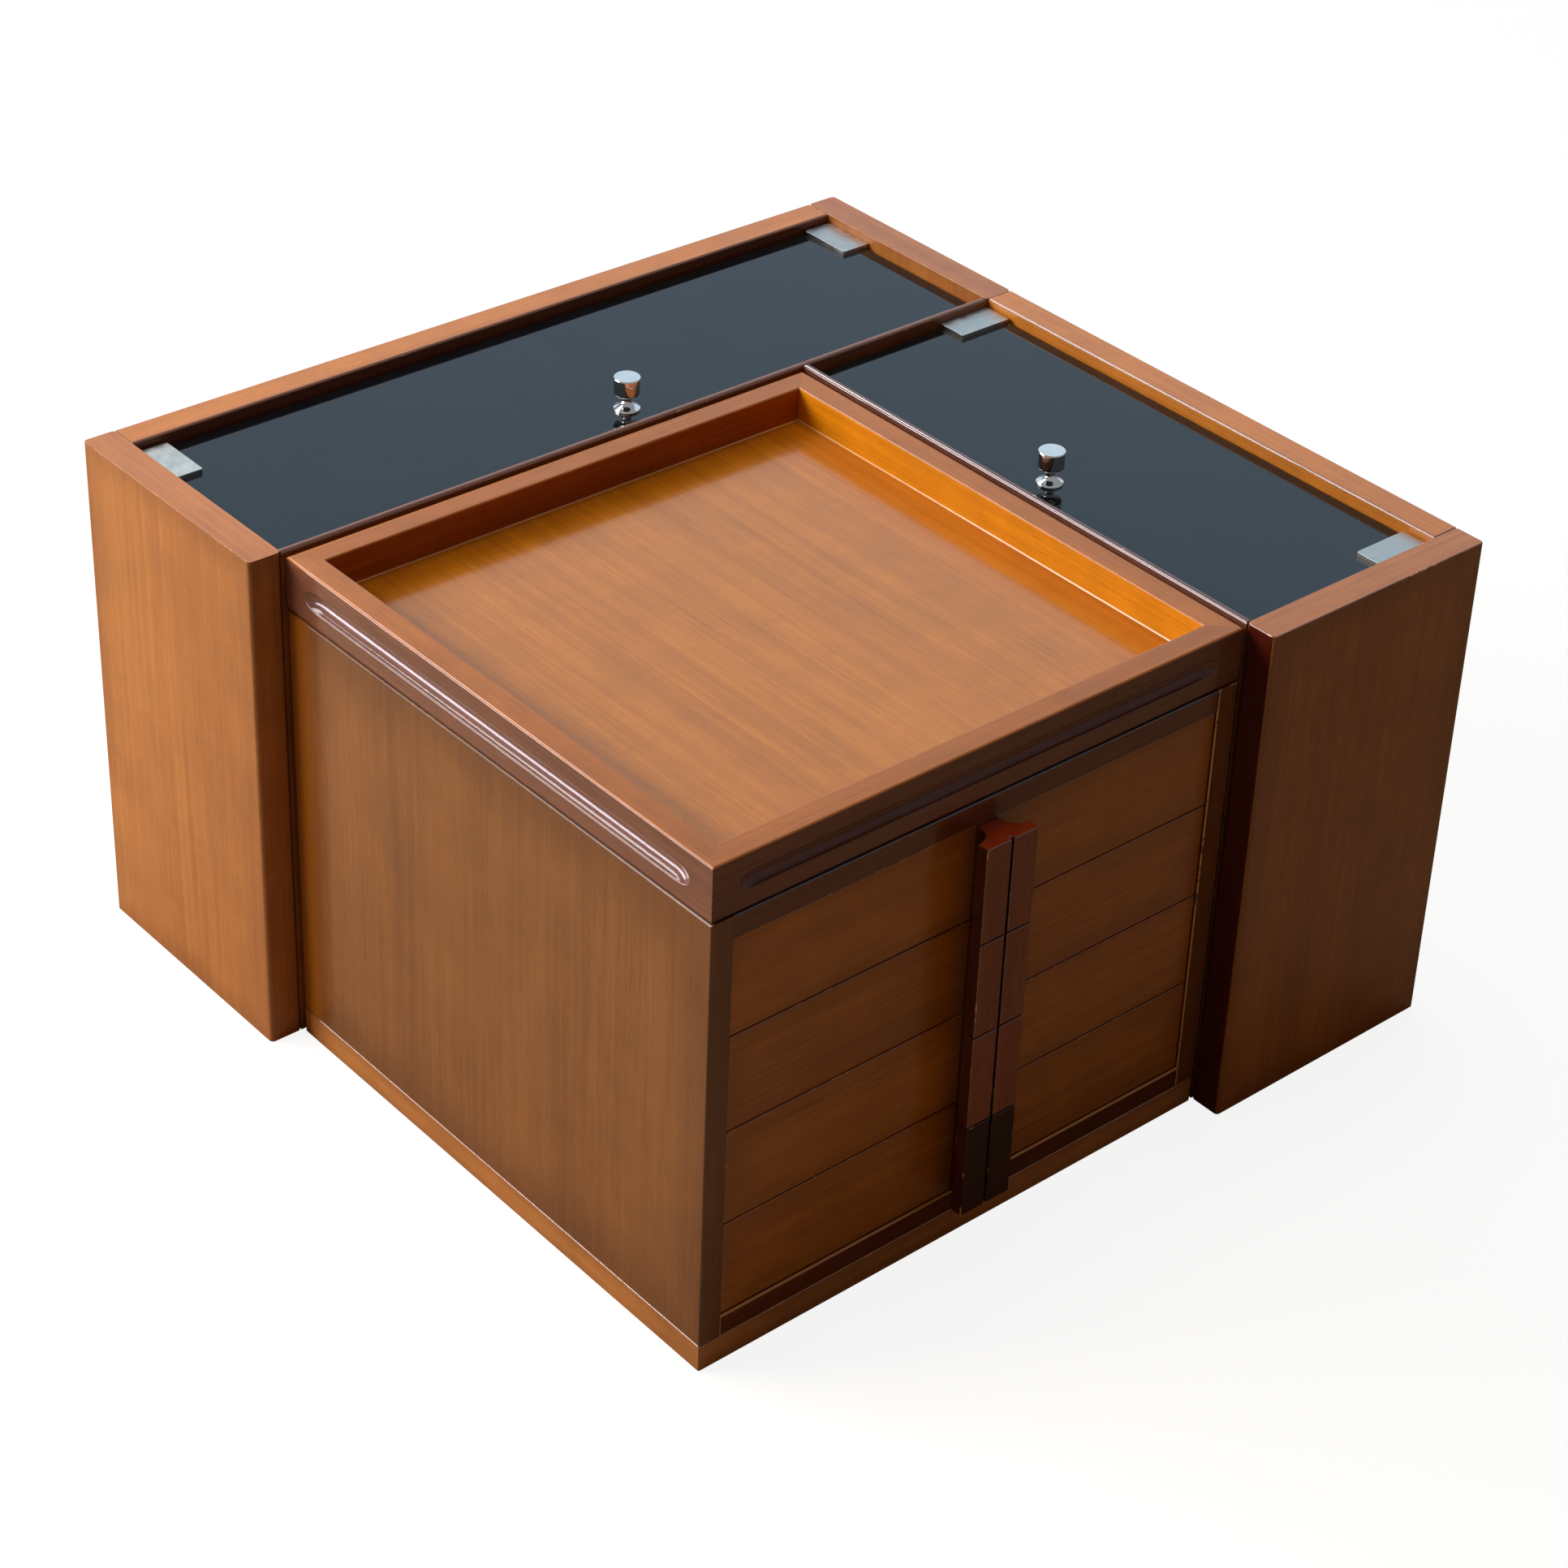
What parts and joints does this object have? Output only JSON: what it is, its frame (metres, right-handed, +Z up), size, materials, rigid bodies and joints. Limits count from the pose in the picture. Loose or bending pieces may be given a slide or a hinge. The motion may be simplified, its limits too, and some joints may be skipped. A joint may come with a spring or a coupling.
{
  "type": "cube storage unit",
  "caption": "Low square wooden storage unit: drawers with a segmented handle under a lift-off tray, wrapped at the back and right by bins with hinged black glass lids.",
  "frame": {"origin": "centre of the footprint, on the floor", "axes": "+Z up, -Y the side that the drawers face, +X towards the right bin"},
  "size_m": [0.6524, 0.65, 0.394],
  "materials": {
    "lacquered_wood": "cherry-coloured veneer under a glossy lacquer, with rounded arrises",
    "dark_handle_wood": "darker reddish-brown stain under the same lacquer",
    "plain_wood": "pale planed beech, waxed",
    "plywood": "sanded birch plywood",
    "black_glass": "polished opaque black glass with ground edges",
    "satin_nickel": "satin nickel plate",
    "polished_chrome": "turned and polished",
    "screw_steel": "zinc-plated screws, washers and spacers",
    "bush_brass": "plain turned brass"
  },
  "bodies": {
    "cabinet": {"plinth_front": "lacquered_wood", "plinth_back": "lacquered_wood", "plinth_left": "lacquered_wood", "plinth_right": "lacquered_wood", "cabinet_left_side": "lacquered_wood", "cabinet_right_side": "lacquered_wood", "cabinet_bottom": "lacquered_wood", "cabinet_top": "lacquered_wood", "cabinet_back": "plywood", "drawer_runners": "plain_wood", "assembly_screws": "screw_steel", "pivot_bushes": "bush_brass", "rear_bin_left_end": "lacquered_wood", "rear_bin_right_end": "lacquered_wood", "rear_bin_back": "lacquered_wood", "rear_bin_front": "lacquered_wood", "rear_bin_floor": "plywood", "side_bin_front_end": "lacquered_wood", "side_bin_outer_wall": "lacquered_wood", "side_bin_inner_wall": "lacquered_wood", "side_bin_floor": "plywood"},
    "tray": {"tray_front_rail": "lacquered_wood", "tray_right_rail": "lacquered_wood", "tray_back_rail": "lacquered_wood", "tray_left_rail": "lacquered_wood", "tray_floor": "lacquered_wood"},
    "rear_lid": {"rear_glass": "black_glass", "rear_hinge_a": "satin_nickel", "rear_hinge_b": "satin_nickel", "rear_knob": "polished_chrome", "rear_lid_screws": "screw_steel"},
    "side_lid": {"side_glass": "black_glass", "side_hinge_a": "satin_nickel", "side_hinge_b": "satin_nickel", "side_knob": "polished_chrome", "side_lid_screws": "screw_steel"},
    "drawer_1": {"drawer_1_front": "lacquered_wood", "drawer_1_left_side": "plain_wood", "drawer_1_right_side": "plain_wood", "drawer_1_back": "plain_wood", "drawer_1_bottom": "plywood", "drawer_1_handle": "dark_handle_wood"},
    "drawer_2": {"drawer_2_front": "lacquered_wood", "drawer_2_left_side": "plain_wood", "drawer_2_right_side": "plain_wood", "drawer_2_back": "plain_wood", "drawer_2_bottom": "plywood", "drawer_2_handle": "dark_handle_wood"},
    "drawer_3": {"drawer_3_front": "lacquered_wood", "drawer_3_left_side": "plain_wood", "drawer_3_right_side": "plain_wood", "drawer_3_back": "plain_wood", "drawer_3_bottom": "plywood", "drawer_3_handle": "dark_handle_wood"},
    "drawer_4": {"drawer_4_front": "lacquered_wood", "drawer_4_left_side": "plain_wood", "drawer_4_right_side": "plain_wood", "drawer_4_back": "plain_wood", "drawer_4_bottom": "plywood", "drawer_4_handle": "dark_handle_wood"}
  },
  "joints": [
    {"name": "drawer_1_slide", "type": "slide", "parent": "cabinet", "child": "drawer_1", "axis": [0, -1, 0], "range_m": [0, 0.3]},
    {"name": "drawer_2_slide", "type": "slide", "parent": "cabinet", "child": "drawer_2", "axis": [0, -1, 0], "range_m": [0, 0.3]},
    {"name": "drawer_3_slide", "type": "slide", "parent": "cabinet", "child": "drawer_3", "axis": [0, -1, 0], "range_m": [0, 0.3]},
    {"name": "drawer_4_slide", "type": "slide", "parent": "cabinet", "child": "drawer_4", "axis": [0, -1, 0], "range_m": [0, 0.3]},
    {"name": "tray_lift", "type": "slide", "parent": "cabinet", "child": "tray", "axis": [0, 0, 1], "range_m": [0, 0.08]},
    {"name": "rear_lid_hinge", "type": "hinge", "parent": "cabinet", "child": "rear_lid", "pos_m": [0, 0.289, 0.366], "axis": [-1, 0, 0], "range_deg": [0, 115]},
    {"name": "side_lid_hinge", "type": "hinge", "parent": "cabinet", "child": "side_lid", "pos_m": [0.29025, -0.08675, 0.366], "axis": [0, 1, 0], "range_deg": [0, 115]}
  ]
}
